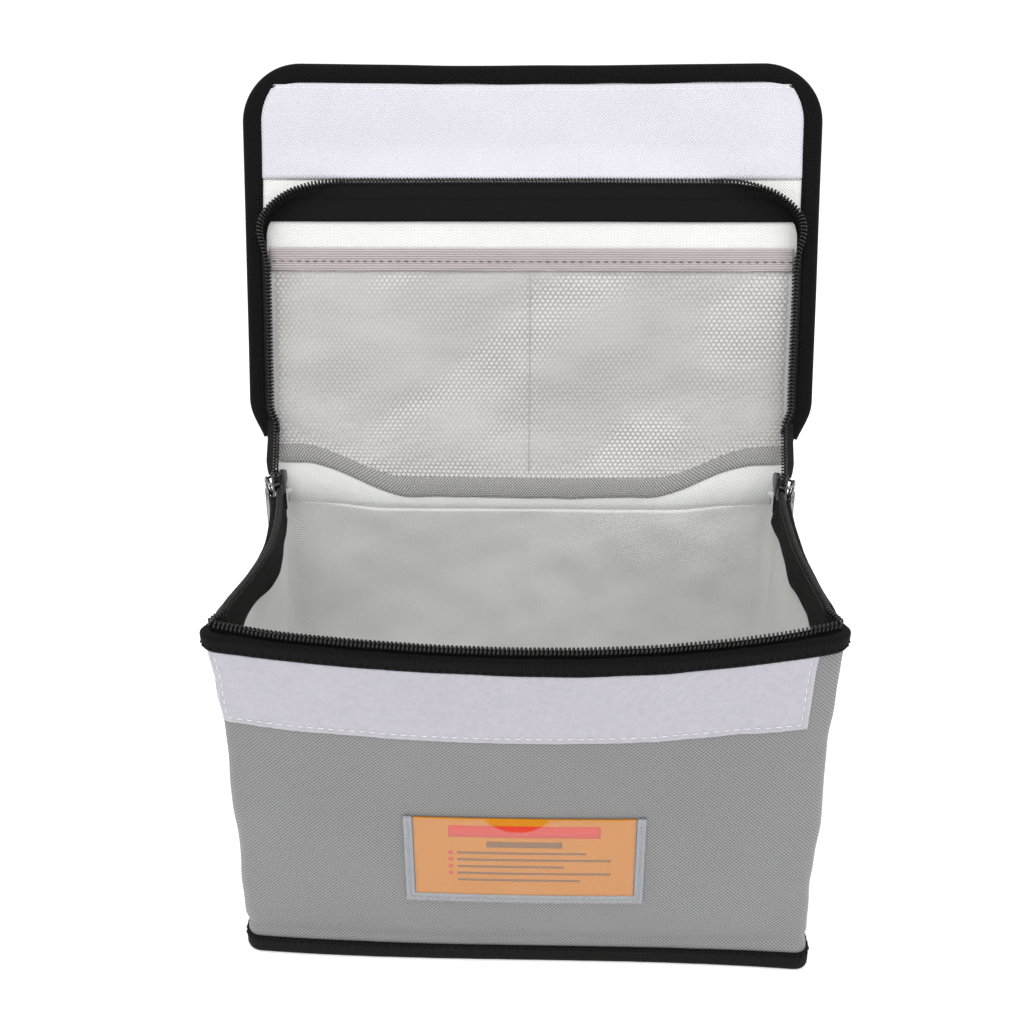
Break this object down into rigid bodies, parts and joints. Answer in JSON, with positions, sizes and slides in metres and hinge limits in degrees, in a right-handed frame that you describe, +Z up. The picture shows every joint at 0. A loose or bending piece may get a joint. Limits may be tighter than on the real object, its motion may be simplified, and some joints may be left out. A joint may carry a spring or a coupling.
{
  "type": "lipo safe bag",
  "caption": "Box-shaped fire-resistant fabric bag with a zipped hinged cover, mesh pocket, hook-and-loop front flap and a clear label pocket",
  "frame": {"origin": "middle of the base, on the surface the bag stands on", "axes": "+Z up, -Y the front face with the label pocket, +X to the right seen from the front; the cover stands open behind"},
  "size_m": [0.234, 0.1767, 0.3102],
  "materials": {
    "outer_fabric": "silver-grey coated glass-fibre cloth with a fine basket weave",
    "lining": "pale grey-green glass-fibre cloth with a satin sheen",
    "binding": "black ribbed grosgrain binding",
    "zipper_tape": "black woven zipper tape",
    "zipper_coil": "black nylon coil",
    "loop_strip": "off-white fuzzy loop pile",
    "hook_strip": "off-white hook tape",
    "window_border": "blue-grey welded and stitched edge",
    "label_window": "clear flexible sheet, glossy",
    "hinge_webbing": "grey grainy seam webbing",
    "label_card": "orange-yellow printed card",
    "pocket_mesh": "pinkish-grey open net",
    "pocket_hem": "pinkish-grey ribbed elastic",
    "thread": "white sewing thread",
    "handle_strap": "black woven webbing",
    "zipper_metal": "gunmetal plated zinc, satin"
  },
  "bodies": {
    "bag_body": {"front_panel": "outer_fabric", "back_panel": "outer_fabric", "left_panel": "outer_fabric", "right_panel": "outer_fabric", "bottom_panel": "outer_fabric", "front_lining": "lining", "back_lining": "lining", "left_lining": "lining", "right_lining": "lining", "bottom_lining": "lining", "bottom_binding": "binding", "rim_binding": "binding", "body_zipper_tape": "zipper_tape", "body_zipper_coil": "zipper_coil", "loop_strip": "loop_strip", "window_border": "window_border", "label_window": "label_window", "hinge_webbing": "hinge_webbing"},
    "card": {"label_card": "label_card"},
    "cover": {"cover_outer": "outer_fabric", "cover_lining": "lining", "cover_binding_left": "binding", "cover_binding_right": "binding", "cover_zipper_tape": "zipper_tape", "cover_zipper_coil": "zipper_coil", "pocket_mesh": "pocket_mesh", "pocket_hem": "pocket_hem", "pocket_divider_stitch": "thread", "handle_strap": "handle_strap"},
    "flap": {"flap_outer": "outer_fabric", "flap_lining": "lining", "hook_strip": "hook_strip", "flap_binding": "binding"},
    "slider_l": {"slider_left": "zipper_metal"},
    "slider_r": {"slider_right": "zipper_metal"},
    "pull_l": {"pull_left": "zipper_metal"},
    "pull_r": {"pull_right": "zipper_metal"}
  },
  "joints": [
    {"name": "cover_hinge", "type": "hinge", "parent": "bag_body", "child": "cover", "pos_m": [0, 0.059, 0.158], "axis": [1, 0, 0], "range_deg": [-116.5, 108.5]},
    {"name": "flap_fold", "type": "hinge", "parent": "cover", "child": "flap", "pos_m": [0, 0.09999, 0.27104], "axis": [1, 0, 0], "range_deg": [-90, 90]},
    {"name": "slider_left_run", "type": "slide", "parent": "bag_body", "child": "slider_l", "axis": [0, -1, 0], "range_m": [0, 0.092]},
    {"name": "slider_right_run", "type": "slide", "parent": "bag_body", "child": "slider_r", "axis": [0, -1, 0], "range_m": [0, 0.092]},
    {"name": "pull_left_swing", "type": "hinge", "parent": "slider_l", "child": "pull_l", "pos_m": [-0.1079, 0.0492, 0.1542], "axis": [0, 1, 0], "range_deg": [0, 90]},
    {"name": "pull_right_swing", "type": "hinge", "parent": "slider_r", "child": "pull_r", "pos_m": [0.1079, 0.0492, 0.1542], "axis": [0, -1, 0], "range_deg": [0, 90]},
    {"name": "card_slide", "type": "slide", "parent": "bag_body", "child": "card", "axis": [0, 0, 1], "range_m": [0, 0.037]}
  ]
}
